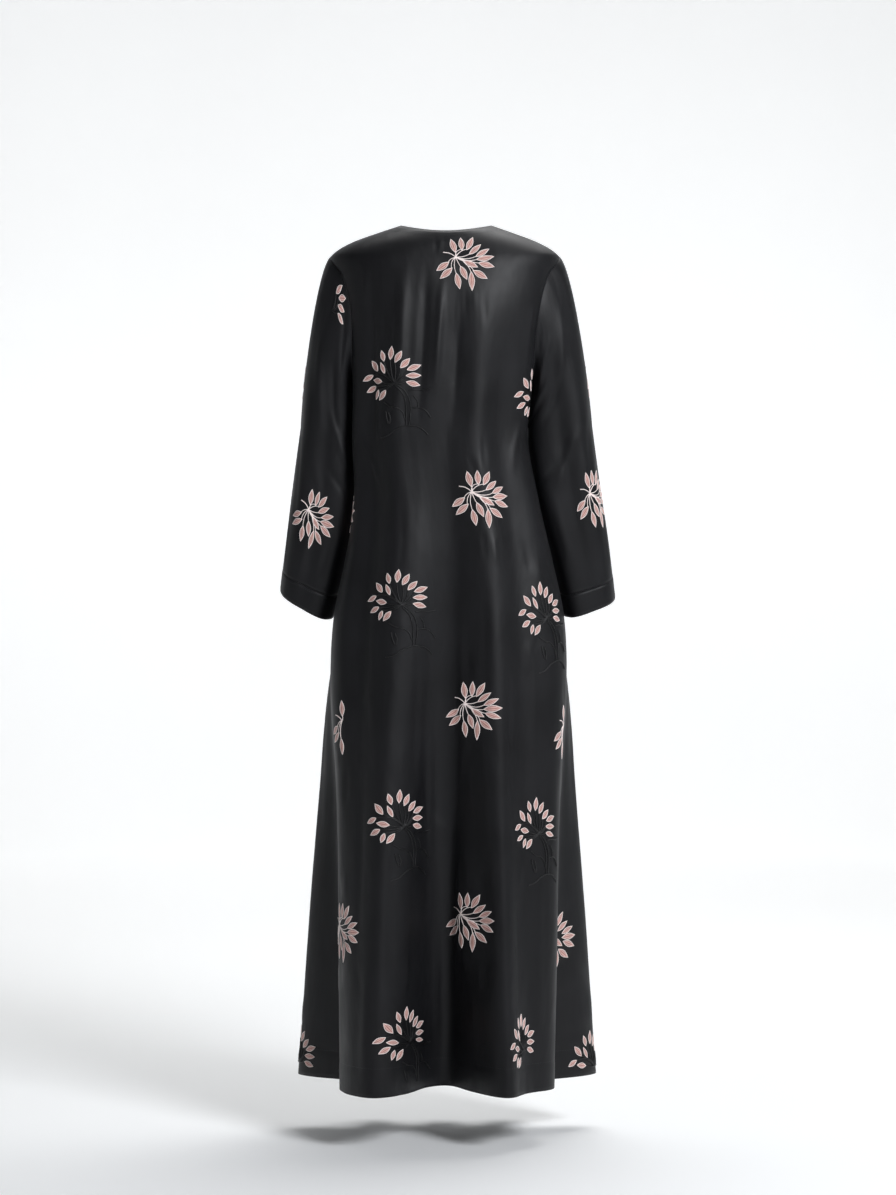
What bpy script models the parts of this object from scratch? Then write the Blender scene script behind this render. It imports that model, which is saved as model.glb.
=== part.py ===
"""Abaya: a floor-length robe of black satin, in the hollow form that it takes when it is worn.

Metres, +Z up. The back of the robe faces -Y and the wearer's right side is +X. The origin lies
midway between the middles of the two shoulder seams, where the wearer's shoulders carry the robe.
Each cut piece is an open surface, worked out ring by ring from the sizes below, with a wall that
is turned inwards from its outer face.
"""

import math

import bpy
import numpy as np

# Driving sizes of the robe
LENGTH = 1.420
WALL = 0.0015
SEAM_GAP = 0.0003
SHOULDER_DROP = 0.050
ARMHOLE_DEPTH = 0.220
ARMHOLE_REACH = {"back": 24.0, "front": 27.0}
NECK_DIP = {"back": 0.016, "front": 0.078}
NECK_FADE = 0.250
FRONT_LAP = 0.012
LAP_RISE = 0.020
LAP_CLEAR = 0.0008
CUFF_DEPTH = 0.036
CUFF_WALL = 0.0022
CUFF_PROUD = 0.0005
ORIGIN_DROP = SHOULDER_DROP / 2

# Fineness of the surfaces
ARMHOLE_STEPS = 10
BACK_COLUMNS = 36
FRONT_COLUMNS = 15
WAIST_ROWS = 8
SKIRT_ROWS = 10
GUARD = 0.0025
FINE = 900

# The ring of cloth round the body at each drop below the neck point:
# drop, shift to the wearer's right, half width, depth to the back, depth to the front, squareness
BODY_SECTIONS = np.array(
    (
        (0.000, -0.003, 0.076, 0.062, 0.056, 2.00),
        (0.012, -0.004, 0.110, 0.079, 0.072, 2.10),
        (0.028, -0.005, 0.153, 0.092, 0.088, 2.25),
        (0.050, -0.005, 0.188, 0.102, 0.104, 2.45),
        (0.085, -0.005, 0.181, 0.112, 0.116, 2.60),
        (0.130, -0.005, 0.171, 0.118, 0.130, 2.65),
        (0.200, -0.007, 0.157, 0.121, 0.142, 2.60),
        (0.270, -0.010, 0.149, 0.121, 0.142, 2.50),
        (0.360, -0.013, 0.145, 0.120, 0.136, 2.45),
        (0.450, -0.003, 0.152, 0.123, 0.136, 2.40),
        (0.550, 0.002, 0.171, 0.130, 0.138, 2.40),
        (0.640, 0.002, 0.191, 0.134, 0.140, 2.40),
        (0.750, 0.001, 0.202, 0.135, 0.140, 2.40),
        (0.950, 0.000, 0.201, 0.135, 0.140, 2.40),
        (1.200, 0.000, 0.204, 0.135, 0.140, 2.40),
        (LENGTH, 0.000, 0.205, 0.135, 0.140, 2.40),
    )
)

# The folds that run down the body, each a crest or a trough of its ring. Angles are in degrees
# round the body, from 0 at the centre back through 90 at the wearer's right side: angle above
# the waist, angle at the hem, then the reach (out +, in -) at the waist, hip, thigh and hem
BODY_FOLDS = (
    (-156.0, -158.0, 0.000, -0.004, -0.008, -0.014),
    (-143.0, -142.0, 0.003, 0.010, 0.024, 0.054),
    (-124.0, -124.5, 0.003, -0.002, 0.000, 0.000),
    (-108.0, -107.5, -0.008, -0.004, 0.023, 0.066),
    (-94.0, -94.0, -0.010, -0.007, -0.010, -0.034),
    (-80.0, -76.0, -0.005, 0.002, -0.010, -0.030),
    (-66.0, -59.5, 0.010, 0.012, 0.009, 0.020),
    (-54.0, -49.5, -0.004, 0.000, 0.013, 0.054),
    (-35.0, -38.7, 0.005, 0.014, 0.030, 0.070),
    (-22.0, -28.0, 0.000, 0.006, 0.010, 0.026),
    (-10.0, -17.0, -0.003, -0.010, -0.022, -0.056),
    (4.0, 2.0, -0.004, -0.014, -0.028, -0.078),
    (15.0, 18.0, 0.001, -0.001, -0.001, -0.006),
    (28.0, 33.0, 0.006, 0.012, 0.026, 0.064),
    (45.0, 46.0, -0.003, 0.000, 0.007, 0.022),
    (66.0, 60.5, 0.010, 0.009, 0.008, 0.006),
    (80.0, 76.0, -0.005, 0.001, -0.009, -0.028),
    (94.0, 95.0, -0.010, -0.007, -0.010, -0.036),
    (108.0, 109.5, -0.008, -0.004, 0.023, 0.069),
    (124.0, 126.0, 0.003, -0.002, 0.001, 0.002),
    (140.0, 143.0, 0.003, 0.010, 0.025, 0.056),
    (156.0, 160.0, 0.000, -0.004, -0.008, -0.015),
    (180.0, 179.0, 0.002, 0.006, 0.014, 0.034),
)
FOLD_STATIONS = (0.08, 0.36, 0.64, 0.88, LENGTH)

# The ring of cloth round each arm, from the upper arm to the cuff's edge. x is measured outwards:
# drop, middle across, middle to the front, half width, half depth, rise outwards, rise forwards
SLEEVE_SECTIONS = {
    "right": np.array(
        (
            (0.340, 0.1845, 0.010, 0.0560, 0.058, 8.0, 2.0),
            (0.440, 0.1988, 0.018, 0.0556, 0.059, 10.0, 5.0),
            (0.535, 0.2187, 0.030, 0.0508, 0.060, 14.0, 9.0),
            (0.630, 0.2355, 0.046, 0.0465, 0.062, 18.0, 12.0),
        )
    ),
    "left": np.array(
        (
            (0.340, 0.1990, 0.010, 0.0465, 0.061, 8.0, 2.0),
            (0.440, 0.2055, 0.018, 0.0540, 0.059, 12.0, 5.0),
            (0.535, 0.2190, 0.030, 0.0535, 0.059, 18.0, 9.0),
            (0.626, 0.2362, 0.046, 0.0500, 0.061, 27.0, 14.0),
        )
    ),
}

# Folds of the sleeves. Angles run from 0 on the outside of the arm through 90 at its back to
# 180 on its inside: angle at the top, angle at the cuff, half width, reach, start drop, end drop
SLEEVE_FOLDS = np.array(
    (
        (52.0, 40.0, 20.0, 0.0050, 0.14, 0.60),
        (95.0, 78.0, 18.0, -0.0065, 0.16, 0.68),
        (140.0, 120.0, 18.0, 0.0060, 0.24, 0.68),
        (215.0, 235.0, 20.0, 0.0050, 0.24, 0.68),
        (262.0, 278.0, 18.0, -0.0055, 0.18, 0.68),
        (305.0, 318.0, 20.0, 0.0045, 0.14, 0.60),
    )
)
SIDE_SIGN = {"right": 1.0, "left": -1.0}


def smooth_step(value):
    """0 below 0, 1 above 1, and an even S between them."""
    held = np.clip(value, 0.0, 1.0)
    return held * held * (3.0 - 2.0 * held)


def read_table(table, at):
    """The table's other columns at these values of its first, on smooth curves through its rows."""
    known, rows = table[:, 0], table[:, 1:]
    slopes = np.gradient(rows, known, axis=0)
    at = np.clip(at, known[0], known[-1])
    low = np.clip(np.searchsorted(known, at, side="right") - 1, 0, len(known) - 2)
    span = (known[low + 1] - known[low])[..., None]
    share = (at - known[low])[..., None] / span
    square, cube = share**2, share**3
    return (
        rows[low] * (2 * cube - 3 * square + 1)
        + slopes[low] * span * (cube - 2 * square + share)
        + rows[low + 1] * (3 * square - 2 * cube)
        + slopes[low + 1] * span * (cube - square)
    )


def body_folds(angle, drop):
    """How far the folds push the body's ring out at this angle, in degrees, and drop."""
    down = np.clip((drop - FOLD_STATIONS[1]) / (LENGTH - FOLD_STATIONS[1]), 0.0, 1.0)
    places, reaches = [], []
    for high, at_hem, *stages in BODY_FOLDS:
        stations = np.column_stack((FOLD_STATIONS, (0.0, *stages)))
        places.append(high + (at_hem - high) * down)
        reaches.append(read_table(stations, drop)[..., 0])
    count = len(places)
    gaps = [(places[(one + 1) % count] - places[one]) % 360.0 for one in range(count)]
    slopes = [
        (reaches[(one + 1) % count] - reaches[one - 1]) / (gaps[one] + gaps[one - 1])
        for one in range(count)
    ]
    out = np.zeros(drop.shape)
    for one in range(count):
        following = (one + 1) % count
        share = ((angle - places[one]) % 360.0) / gaps[one]
        square, cube = share**2, share**3
        blend = (
            reaches[one] * (2 * cube - 3 * square + 1)
            + slopes[one] * gaps[one] * (cube - 2 * square + share)
            + reaches[following] * (3 * square - 2 * cube)
            + slopes[following] * gaps[one] * (cube - square)
        )
        out = np.where(share < 1.0, blend, out)
    return out


def body_point(angle, drop):
    """The outer face of the body at an angle round it, in degrees, and a drop down the grain."""
    angle, drop = np.broadcast_arrays(np.asarray(angle, float), np.asarray(drop, float))
    across, along = np.sin(np.radians(angle)), np.cos(np.radians(angle))
    dip = np.where(along > 0, NECK_DIP["back"], NECK_DIP["front"]) * along**2
    low = drop + dip * (1.0 - smooth_step(drop / NECK_FADE))
    shift, wide, back, front, power = np.moveaxis(read_table(BODY_SECTIONS, low), -1, 0)
    deep = np.where(along > 0, back, front)
    wide_share, deep_share = np.abs(across / wide), np.abs(along / deep)
    plain = (wide_share**power + deep_share**power) ** (-1.0 / power)
    x, y = plain * across, -plain * along
    lean_x = np.sign(x) * np.abs(x / wide) ** (power - 1.0) / wide
    lean_y = np.sign(y) * np.abs(y / deep) ** (power - 1.0) / deep
    reach = body_folds(angle, low) / np.hypot(lean_x, lean_y)
    return np.stack((shift + x + reach * lean_x, y + reach * lean_y, ORIGIN_DROP - low), axis=-1)


def body_normal(angle, drop):
    """The outward direction of the body's face."""
    turn, step = 0.05, 0.0005
    round_it = body_point(angle + turn, drop) - body_point(angle - turn, drop)
    down_it = body_point(angle, drop + step) - body_point(angle, drop - step)
    normal = np.cross(down_it, round_it)
    return normal / np.linalg.norm(normal, axis=-1, keepdims=True)


def armhole_drop(turn):
    """The drop of the armhole's edge, turn degrees round it from the shoulder point."""
    return SHOULDER_DROP + ARMHOLE_DEPTH * (1.0 - np.cos(np.radians(turn))) / 2.0


def armhole_angle(turn):
    """The angle round the body, on the wearer's right, of the armhole's edge."""
    rise = np.sin(np.radians(turn))
    return 90.0 - np.where(rise > 0, ARMHOLE_REACH["back"], ARMHOLE_REACH["front"]) * rise


def row_drops():
    """The drop of every row of the panels, with the armhole's own steps between the seams."""
    shoulder = SHOULDER_DROP * np.array((0.0, 0.16, 0.42, 0.70))
    armhole = armhole_drop(np.linspace(0.0, 180.0, ARMHOLE_STEPS + 1))
    waist = np.linspace(SHOULDER_DROP + ARMHOLE_DEPTH + 0.038, 0.66, WAIST_ROWS)
    skirt = np.linspace(0.66, LENGTH, SKIRT_ROWS + 1)[1:]
    return np.concatenate((shoulder, armhole, waist, skirt))


def edge_angle(drop, panel):
    """How far round from the wearer's right side the panel stops at this drop, in degrees."""
    inside = (drop - SHOULDER_DROP) / ARMHOLE_DEPTH
    if inside <= 1e-9 or inside >= 1.0 - 1e-9:
        return 0.0
    return ARMHOLE_REACH[panel] * math.sqrt(1.0 - (2.0 * inside - 1.0) ** 2)


def measured_ring(first, last, drop):
    """Angles along one row and the length of cloth up to each of them."""
    angles = np.linspace(first, last, FINE)
    steps = np.linalg.norm(np.diff(body_point(angles, drop), axis=0), axis=1)
    return angles, np.concatenate(((0.0,), np.cumsum(steps)))


def guarded(first, last, count, guard_last=True):
    """Even places from first to last, with one more close to each edge that a seam joins."""
    places = [first, first + GUARD, *np.linspace(first, last, count + 1)[1:-1]]
    return np.array([*places, last - GUARD, last] if guard_last else [*places, last])


def back_row(drop):
    """The back's points along one row, from its left edge to its right."""
    stop = edge_angle(drop, "back")
    angles, lengths = measured_ring(-90.0 + stop, 90.0 - stop, drop)
    inset = 0.0 if stop else SEAM_GAP / 2
    places = guarded(inset, lengths[-1] - inset, BACK_COLUMNS)
    return body_point(np.interp(places, lengths, angles), drop)


def front_row(drop, side):
    """A front's points along one row: from its side edge on the right, from its lap on the left."""
    stop = edge_angle(drop, "front")
    inset = 0.0 if stop else SEAM_GAP / 2
    over = side == "right"
    if over:
        angles, lengths = measured_ring(90.0 + stop, 200.0, drop)
    else:
        angles, lengths = measured_ring(270.0 - stop, 160.0, drop)
    middle = np.interp(180.0, angles if over else angles[::-1], lengths if over else lengths[::-1])
    turned = middle - FRONT_LAP - LAP_RISE
    laps = middle + np.array((-FRONT_LAP - 0.2 * LAP_RISE, -FRONT_LAP, 0.0, FRONT_LAP))
    places = np.concatenate((guarded(inset, turned, FRONT_COLUMNS, guard_last=False), laps))
    at = np.interp(places, lengths, angles)
    row = body_point(at, drop)
    if over:
        rise = smooth_step((places - turned) / (0.8 * LAP_RISE))
        row = row + (rise * (WALL + LAP_CLEAR))[:, None] * body_normal(at, drop)
        return row
    return row[::-1]


def mirrored(points, side):
    """Points worked out on the wearer's right, on the side that is asked for."""
    return points * np.array((SIDE_SIGN[side], 1.0, 1.0))


def armhole_frame(turn, side):
    """The sleeve's start at each turn: its points, clear of the panel's edge, and its directions."""
    drop = armhole_drop(turn)
    angle = armhole_angle(turn)
    round_body = angle if side == "right" else -angle
    edge = body_point(round_body, drop)
    outward = body_normal(round_body, drop)
    along = np.roll(edge, -1, axis=0) - np.roll(edge, 1, axis=0)
    into = np.cross(outward, along)
    into /= np.linalg.norm(into, axis=-1, keepdims=True)
    middle = body_point(90.0 * SIDE_SIGN[side], SHOULDER_DROP + ARMHOLE_DEPTH / 2)
    into *= np.sign(np.sum(into * (middle - edge), axis=-1, keepdims=True))
    fall = 0.42 * (1.0 + np.cos(np.radians(turn))) / 2.0 + 0.35 * np.abs(np.sin(np.radians(turn)))
    leaving = np.stack((np.full(len(turn), SIDE_SIGN[side]), np.zeros(len(turn)), -fall), axis=-1)
    leaving /= np.linalg.norm(leaving, axis=-1, keepdims=True)
    return edge + into * SEAM_GAP, leaving


def sleeve_folds(turn, drop):
    """How far the folds push the sleeve's ring out."""
    out = np.zeros(np.broadcast(turn, drop).shape)
    for at_top, at_cuff, width, reach, start, end in SLEEVE_FOLDS:
        share = np.clip((drop - start) / (end - start), 0.0, 1.0)
        middle = at_top + (at_cuff - at_top) * share
        away = (turn - middle + 180.0) % 360.0 - 180.0
        ease = smooth_step(share / 0.4) * (1.0 - 0.45 * smooth_step((share - 0.6) / 0.4))
        out = out + reach * ease * np.exp(-((away / width) ** 2))
    return out


def sleeve_ring(turn, drop, side):
    """The plain ring of the sleeve below the upper arm, with the direction that it runs in."""
    step = 0.01
    table = SLEEVE_SECTIONS[side]
    across, ahead, wide, deep, outer_rise, front_rise = read_table(table, np.float64(drop))
    before, after = (read_table(table, np.float64(drop + d))[:2] for d in (-step, step))
    run = np.array((*(after - before), -2.0 * step))
    lean, nod = math.radians(outer_rise), math.radians(front_rise)
    outwards = np.array((math.cos(lean), 0.0, math.sin(lean)))
    forwards = np.array((0.0, math.cos(nod), math.sin(nod)))
    swell = sleeve_folds(turn, drop)[:, None]
    cosine, sine = np.cos(np.radians(turn))[:, None], np.sin(np.radians(turn))[:, None]
    centre = np.array((across, ahead, ORIGIN_DROP - drop))
    ring = centre + outwards * (wide + swell) * cosine - forwards * (deep + swell) * sine
    return mirrored(ring, side), mirrored(run / np.linalg.norm(run), side)


def sleeve_rows(side, shares, drops):
    """Rings of the sleeve: at these shares of the way from the armhole to the upper arm, then at these drops."""
    count = 4 * ARMHOLE_STEPS
    turn = np.arange(count) * 360.0 / count
    start, leaving = armhole_frame(turn, side)
    # Between two steps of the armhole the sleeve's first rings stay straight, as the panel's edge is.
    start[1::2] = (start[::2] + np.roll(start[::2], -1, axis=0)) / 2.0
    leaving[1::2] = (leaving[::2] + np.roll(leaving[::2], -1, axis=0)) / 2.0
    top_drop = SLEEVE_SECTIONS[side][0, 0]
    arm, run = sleeve_ring(turn, top_drop, side)
    under = (1.0 - np.cos(np.radians(turn)))[:, None] / 2.0
    first_pull = leaving * (0.072 * (1.0 - under) + 0.030 * under)
    last_pull = run * (0.22 * (1.0 - under) + 0.075 * under)
    rows = []
    for share in shares:
        square, cube = share**2, share**3
        rows.append(
            start * (2 * cube - 3 * square + 1)
            + first_pull * (cube - 2 * square + share)
            + arm * (3 * square - 2 * cube)
            + last_pull * (cube - square)
        )
    rows.extend(sleeve_ring(turn, drop, side)[0] for drop in drops)
    return np.array(rows)


def satin():
    """Black satin: dark, with a soft silky gloss."""
    material = bpy.data.materials.new("black_satin")
    material.use_nodes = True
    surface = material.node_tree.nodes["Principled BSDF"]
    surface.inputs["Base Color"].default_value = (0.012, 0.012, 0.014, 1.0)
    surface.inputs["Roughness"].default_value = 0.38
    surface.inputs["Metallic"].default_value = 0.0
    return material


def cloth_piece(name, points, wall, origin, holder, closed=False, flip=False):
    """A cut piece: an open surface lofted through rows of points, with its wall turned inwards."""
    rows, columns = points.shape[:2]
    across = columns if closed else columns - 1
    faces = []
    for row in range(rows - 1):
        for column in range(across):
            beside = (column + 1) % columns
            corners = (
                row * columns + column,
                (row + 1) * columns + column,
                (row + 1) * columns + beside,
                row * columns + beside,
            )
            faces.append(corners[::-1] if flip else corners)
    mesh = bpy.data.meshes.new(name)
    mesh.from_pydata((points.reshape(-1, 3) - origin).tolist(), [], faces)
    mesh.materials.append(bpy.data.materials["black_satin"])
    mesh.shade_smooth()
    piece = bpy.data.objects.new(name, mesh)
    piece.location = origin
    piece.parent = holder
    solidify = piece.modifiers.new("wall", "SOLIDIFY")
    solidify.thickness = wall
    solidify.offset = -1.0
    bpy.data.collections["abaya"].objects.link(piece)
    return piece


def build_body(holder):
    """The back in one piece, and two fronts whose right edge laps over the left."""
    drops = row_drops()
    nape = np.array((0.0, -BODY_SECTIONS[0, 3], ORIGIN_DROP))
    pit = np.array((0.0, BODY_SECTIONS[0, 4], ORIGIN_DROP - NECK_DIP["front"]))
    cloth_piece("back", np.array([back_row(drop) for drop in drops]), WALL, nape, holder)
    right = np.array([front_row(drop, "right") for drop in drops])
    cloth_piece("front_right", right, WALL, pit, holder)
    left = np.array([front_row(drop, "left") for drop in drops])
    cloth_piece("front_left", left, WALL, pit, holder)


def build_sleeve(side, holder):
    """A set-in sleeve and the band that is sewn to its end."""
    turned = side == "right"
    top_drop, end_drop = SLEEVE_SECTIONS[side][0, 0], SLEEVE_SECTIONS[side][-1, 0]
    band_drop = end_drop - CUFF_DEPTH
    shares = (0.0, 0.02, 0.10, 0.22, 0.38, 0.56, 0.78)
    drops = np.linspace(top_drop, band_drop - SEAM_GAP / 2, 7)
    shoulder_point = body_point(90.0 * SIDE_SIGN[side], SHOULDER_DROP)
    sleeve = sleeve_rows(side, shares, drops)
    cloth_piece("sleeve_" + side, sleeve, WALL, shoulder_point, holder, closed=True, flip=turned)
    band_drops = np.linspace(band_drop + SEAM_GAP / 2, end_drop, 3)
    band = sleeve_rows(side, (), band_drops)
    middle = band.mean(axis=1, keepdims=True)
    away = band - middle
    band = band + away / np.linalg.norm(away, axis=-1, keepdims=True) * CUFF_PROUD
    cloth_piece("cuff_" + side, band, CUFF_WALL, middle[0, 0], holder, closed=True, flip=turned)


def main():
    for old in list(bpy.data.objects):
        bpy.data.objects.remove(old)
    collection = bpy.data.collections.new("abaya")
    bpy.context.scene.collection.children.link(collection)
    satin()
    holder = bpy.data.objects.new("wearer_shoulders", None)
    collection.objects.link(holder)
    build_body(holder)
    for side in SIDE_SIGN:
        build_sleeve(side, holder)


main()
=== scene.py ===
"""Abaya, dressed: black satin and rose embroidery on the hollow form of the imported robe.

Metres, +Z up. The back of the robe faces -Y, and its right side, as it is worn, is +X. Every cloth
here is a thin shell on the form of its solid, worked out from the same sizes, with finer creases,
and the embroidery, cords and stitches lie on that cloth. The tables of rings, folds, creases and
motifs are in millimetres and degrees.
"""

import math

import bpy
import numpy as np
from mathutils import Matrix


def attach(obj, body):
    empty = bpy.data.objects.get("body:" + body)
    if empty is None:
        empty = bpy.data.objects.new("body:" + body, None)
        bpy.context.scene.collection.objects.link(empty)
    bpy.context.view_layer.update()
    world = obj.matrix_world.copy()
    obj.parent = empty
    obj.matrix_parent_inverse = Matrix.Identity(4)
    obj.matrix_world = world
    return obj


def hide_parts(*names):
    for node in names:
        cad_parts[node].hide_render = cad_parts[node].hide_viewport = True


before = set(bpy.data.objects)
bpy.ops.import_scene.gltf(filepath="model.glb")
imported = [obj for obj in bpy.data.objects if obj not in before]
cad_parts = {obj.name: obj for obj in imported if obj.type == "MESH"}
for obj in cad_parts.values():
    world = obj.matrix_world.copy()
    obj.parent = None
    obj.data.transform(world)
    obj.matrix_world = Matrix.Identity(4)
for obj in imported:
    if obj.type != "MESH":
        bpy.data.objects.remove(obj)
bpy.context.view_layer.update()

# Sizes of the robe, as in its solids
LENGTH = 1.420
WALL = 0.0015
SEAM_GAP = 0.0003
SHOULDER_DROP = 0.050
ARMHOLE_DEPTH = 0.220
ARMHOLE_REACH = {"back": 24.0, "front": 27.0}
NECK_DIP = {"back": 0.016, "front": 0.078}
NECK_FADE = 0.250
FRONT_LAP = 0.012
LAP_RISE = 0.020
LAP_CLEAR = 0.0008
CUFF_DEPTH = 0.036
CUFF_WALL = 0.0022
CUFF_PROUD = 0.0005
ORIGIN_DROP = SHOULDER_DROP / 2
SIDE_SIGN = {"right": 1.0, "left": -1.0}
PANELS = ("back", "front_left", "front_right")

# How the hem, the side seams and the cuffs' edges are finished
HEM_DEPTH = 0.045
HEM_DITCH = 0.0004
HEM_DITCH_WIDTH = 0.004
SIDE_DITCH = 0.0007
SIDE_DITCH_WIDTH = 0.0035
PRESSED_EDGE = 0.0004

# Fineness of the dressed cloth
ARMHOLE_STEPS = 24
COLUMNS = {"back": 132, "front_left": 72, "front_right": 72}
SHOULDER_ROWS = 11
SLEEVE_TOP_ROWS = 38
SLEEVE_ROWS = 52
CUFF_ROWS = 9
SKIRT_STEP = 0.0066
FINE = 900

# A millimetre, and how many of them a degree is round the body and round a sleeve
MM = 0.001
BODY_DEGREE = 3.2
SLEEVE_DEGREE = 0.98

# The ring of cloth round the body at each drop below the neck point:
# drop, shift to the right, half width, depth to the back, depth to the front, squareness
BODY_SECTIONS = (MM, MM, MM, MM, MM, 1.0) * np.array((
    (0, -3, 76, 62, 56, 2),
    (12, -4, 110, 79, 72, 2.1),
    (28, -5, 153, 92, 88, 2.25),
    (50, -5, 188, 102, 104, 2.45),
    (85, -5, 181, 112, 116, 2.6),
    (130, -5, 171, 118, 130, 2.65),
    (200, -7, 157, 121, 142, 2.6),
    (270, -10, 149, 121, 142, 2.5),
    (360, -13, 145, 120, 136, 2.45),
    (450, -3, 152, 123, 136, 2.4),
    (550, 2, 171, 130, 138, 2.4),
    (640, 2, 191, 134, 140, 2.4),
    (750, 1, 202, 135, 140, 2.4),
    (950, 0, 201, 135, 140, 2.4),
    (1200, 0, 204, 135, 140, 2.4),
    (LENGTH / MM, 0, 205, 135, 140, 2.4),
))

# The folds that run down the body: angle above the waist, angle at the hem, then the reach
# (out +, in -) at the waist, hip, thigh and hem
BODY_FOLDS = (
    (-156, -158, 0, -4, -8, -14),
    (-143, -142, 3, 10, 24, 54),
    (-124, -124.5, 3, -2, 0, 0),
    (-108, -107.5, -8, -4, 23, 66),
    (-94, -94, -10, -7, -10, -34),
    (-80, -76, -5, 2, -10, -30),
    (-66, -59.5, 10, 12, 9, 20),
    (-54, -49.5, -4, 0, 13, 54),
    (-35, -38.7, 5, 14, 30, 70),
    (-22, -28, 0, 6, 10, 26),
    (-10, -17, -3, -10, -22, -56),
    (4, 2, -4, -14, -28, -78),
    (15, 18, 1, -1, -1, -6),
    (28, 33, 6, 12, 26, 64),
    (45, 46, -3, 0, 7, 22),
    (66, 60.5, 10, 9, 8, 6),
    (80, 76, -5, 1, -9, -28),
    (94, 95, -10, -7, -10, -36),
    (108, 109.5, -8, -4, 23, 69),
    (124, 126, 3, -2, 1, 2),
    (140, 143, 3, 10, 25, 56),
    (156, 160, 0, -4, -8, -15),
    (180, 179, 2, 6, 14, 34),
)
FOLD_STATIONS = (0.08, 0.36, 0.64, 0.88, LENGTH)

# The ring of cloth round each sleeve, from below the armhole to the cuff's edge, across measured
# outwards: drop, middle across, middle to the front, half width, half depth, rise outwards and
# rise forwards
SLEEVE_RINGS = {
    "right": (
        (340, 184.5, 10, 56, 58, 8, 2),
        (440, 198.8, 18, 55.6, 59, 10, 5),
        (535, 218.7, 30, 50.8, 60, 14, 9),
        (630, 235.5, 46, 46.5, 62, 18, 12),
    ),
    "left": (
        (340, 199, 10, 46.5, 61, 8, 2),
        (440, 205.5, 18, 54, 59, 12, 5),
        (535, 219, 30, 53.5, 59, 18, 9),
        (626, 236.2, 46, 50, 61, 27, 14),
    ),
}
RING_UNITS = (MM, MM, MM, MM, MM, 1.0, 1.0)
SLEEVE_SECTIONS = {side: np.array(rows) * RING_UNITS for side, rows in SLEEVE_RINGS.items()}

# How far the cloth runs straight on from the armhole, and back up from the first ring below it,
# on the outside of the sleeve and on its inside
ARMHOLE_PULL = (0.072, 0.030)
RING_PULL = (0.22, 0.075)

# Folds of the sleeves: angle at the top, angle at the cuff, half width, reach, start drop, end drop
SLEEVE_FOLDS = (1.0, 1.0, 1.0, MM, MM, MM) * np.array((
    (52, 40, 20, 5, 140, 600),
    (95, 78, 18, -6.5, 160, 680),
    (140, 120, 18, 6, 240, 680),
    (215, 235, 20, 5, 240, 680),
    (262, 278, 18, -5.5, 180, 680),
    (305, 318, 20, 4.5, 140, 600),
))

# Creases, each a soft ridge (+) or trough (-) along a bowed line:
# start angle, start drop, end angle, end drop, bow, half width and reach
CREASE_UNITS = (1.0, MM, 1.0, MM, MM, MM, MM)
CREASE_STARTS = 0.42
CREASE_ENDS = 0.36
# The band of a cuff is stiffer, and has only this share of the sleeve's creases.
CUFF_CREASING = 0.35
SHOWN_CREASES = (
    (-31, 30, -33, 360, 3, 13, 4.2),
    (-50, 70, -51, 350, -2, 10, -3),
    (-54, 50, -55, 145, 0, 5, 2.2),
    (-1, 70, -5, 300, -3, 10, 3.8),
    (-15, 50, -17, 350, 2, 12, -4.2),
    (10, 95, 9, 350, 3, 10, -2.2),
    (11, 70, 11, 430, 3, 32, -5.2),
    (62, 100, 60, 260, -2, 6, 1.6),
    (-9, 6, -8, 46, 0, 4, -1.1),
    (-3, 6, -4, 40, 0, 3.5, 1),
    (20, 8, 24, 52, 0, 4, -1),
    (-66, 330, -48, 440, 4, 6, 1.6),
    (64, 310, 50, 430, -4, 6, 1.6),
    (-32, 430, -34, 640, 3, 8, -1.6),
    (-46, 560, -44, 860, -3, 7, 1.6),
    (-21, 640, -25, 980, 4, 8, -1.8),
    (-50, 860, -50, 1240, 3, 6, -1.8),
    (-31, 960, -33, 1300, -4, 9, -2.2),
    (-13, 740, -14, 1080, 3, 8, 1.8),
    (9, 600, 11, 900, -3, 9, 2),
    (9, 930, 9, 1330, 4, 15, 5),
    (25, 960, 24, 1320, -3, 15, -4),
    (-7, 1120, -8, 1400, -3, 9, 2.4),
    (22, 560, 23, 830, 3, 7, -1.6),
    (37, 690, 39, 1020, -3, 6, -1.7),
    (49, 620, 51, 960, 4, 7, 1.7),
    (40, 1040, 41, 1390, 3, 7, -2.2),
    (54, 1020, 54, 1380, -3, 6, 1.8),
    (-44, 1180, -44, 1410, 2, 7, 2.4),
)
HIDDEN_CREASES = (
    (112, 120, 116, 380, 3, 9, 2.6),
    (128, 75, 131, 330, -3, 11, -3),
    (147, 90, 145, 390, 3, 11, 2.8),
    (-113, 110, -117, 370, -3, 9, 2.4),
    (-130, 80, -128, 350, 3, 11, -2.8),
    (-149, 100, -147, 370, -2, 10, 2.6),
    (100, 300, 124, 420, 4, 6, 1.6),
    (-101, 320, -123, 440, -4, 6, 1.6),
    (118, 470, 116, 760, 3, 7, -1.8),
    (134, 560, 133, 900, -3, 8, 1.8),
    (151, 640, 152, 980, 3, 8, -1.8),
    (-119, 500, -117, 800, -3, 7, -1.8),
    (-133, 580, -135, 880, 3, 8, 1.8),
    (-150, 610, -151, 960, -3, 8, -1.8),
    (118, 900, 118, 1260, 3, 8, 2.2),
    (134, 1000, 135, 1390, -3, 7, -2.2),
    (166, 880, 168, 1250, 3, 8, 2),
    (-116, 940, -117, 1290, -3, 8, 2.2),
    (-133, 1040, -134, 1400, 3, 7, -2.2),
    (-167, 900, -168, 1230, -3, 8, 2),
    (86, 320, 88, 560, 2, 7, 1.8),
    (-86, 330, -88, 580, -2, 7, 1.8),
    (102, 700, 102, 1080, 3, 8, -2),
    (-102, 720, -102, 1100, -3, 8, -2),
    (85, 860, 84, 1220, 3, 7, 1.8),
    (-85, 840, -84, 1240, -3, 7, 1.8),
)

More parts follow.
